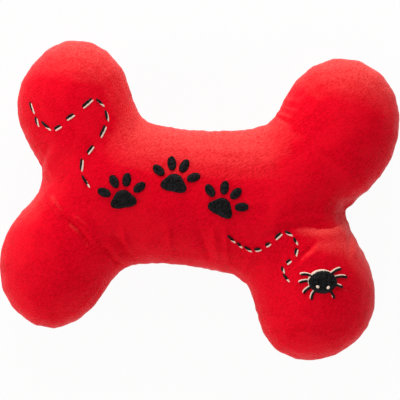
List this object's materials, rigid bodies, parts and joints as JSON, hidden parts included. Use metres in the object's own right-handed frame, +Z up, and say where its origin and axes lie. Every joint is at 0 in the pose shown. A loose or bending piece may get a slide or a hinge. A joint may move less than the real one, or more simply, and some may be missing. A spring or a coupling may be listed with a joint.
{
  "type": "dog toy",
  "caption": "Stuffed plush bone with four lobes, an embroidered front and a squeaker inside that sounds when the toy is squeezed.",
  "frame": {"origin": "middle of the outline seen from above, on the flat of the back that the toy lies on", "axes": "+X along the bone, +Y across it towards the upper lobes, +Z up through the embroidered front"},
  "size_m": [0.2394, 0.1884, 0.0668],
  "materials": {
    "red_velour": "short pile velour, soft sheen",
    "polyester_stuffing": "loose white fibre",
    "non_woven_backing": "matt non-woven sheet",
    "black_satin_thread": "satin stitch",
    "squeaker_plastic": "blow-moulded, waxy",
    "whistle_plastic": "injection-moulded, smooth",
    "reed_film": "thin film"
  },
  "bodies": {
    "back": {"back_panel": "red_velour", "back_core_fill": "polyester_stuffing", "upper_right_lobe_fill": "polyester_stuffing", "upper_left_lobe_fill": "polyester_stuffing", "lower_left_lobe_fill": "polyester_stuffing", "lower_right_lobe_fill": "polyester_stuffing", "whistle_barrel": "whistle_plastic", "reed_seat": "whistle_plastic", "reed_wedge": "whistle_plastic"},
    "front": {"front_panel": "red_velour", "front_core_fill": "polyester_stuffing", "motif_backing": "non_woven_backing", "upper_trail_backing": "non_woven_backing", "spider_backing": "non_woven_backing", "paw_1_pad": "black_satin_thread", "paw_1_toe_1": "black_satin_thread", "paw_1_toe_2": "black_satin_thread", "paw_1_toe_3": "black_satin_thread", "paw_1_toe_4": "black_satin_thread", "paw_2_pad": "black_satin_thread", "paw_2_toe_1": "black_satin_thread", "paw_2_toe_2": "black_satin_thread", "paw_2_toe_3": "black_satin_thread", "paw_2_toe_4": "black_satin_thread", "paw_3_pad": "black_satin_thread", "paw_3_toe_1": "black_satin_thread", "paw_3_toe_2": "black_satin_thread", "paw_3_toe_3": "black_satin_thread", "paw_3_toe_4": "black_satin_thread", "spider_body": "black_satin_thread", "spider_leg_1": "black_satin_thread", "spider_leg_2": "black_satin_thread", "spider_leg_3": "black_satin_thread", "spider_leg_4": "black_satin_thread", "spider_leg_5": "black_satin_thread", "spider_leg_6": "black_satin_thread", "spider_leg_7": "black_satin_thread", "spider_leg_8": "black_satin_thread"},
    "bulb": {"squeaker_bulb": "squeaker_plastic"},
    "reed": {"reed": "reed_film"}
  },
  "joints": [
    {"name": "squeeze", "type": "slide", "parent": "back", "child": "front", "axis": [0, 0, -1], "range_m": [0, 0.016], "stiffness_N_per_m": 600, "springref_m": -0.002, "deforming": ["front_panel", "front_core_fill", "motif_backing", "upper_trail_backing", "spider_backing", "upper_right_lobe_fill", "upper_left_lobe_fill", "lower_left_lobe_fill", "lower_right_lobe_fill"]},
    {"name": "bulb_press", "type": "slide", "parent": "back", "child": "bulb", "axis": [0, 0, -1], "range_m": [0, 0.008], "deforming": ["squeaker_bulb"]},
    {"name": "reed_flutter", "type": "hinge", "parent": "back", "child": "reed", "pos_m": [-0.00014, -0.0012, 0.022], "axis": [0, -1, 0], "range_deg": [0, 2.5], "stiffness_Nm_per_rad": 0.00002}
  ],
  "couplings": [
    {"joint": "bulb_press", "follows": "squeeze", "ratio": 0.5}
  ]
}
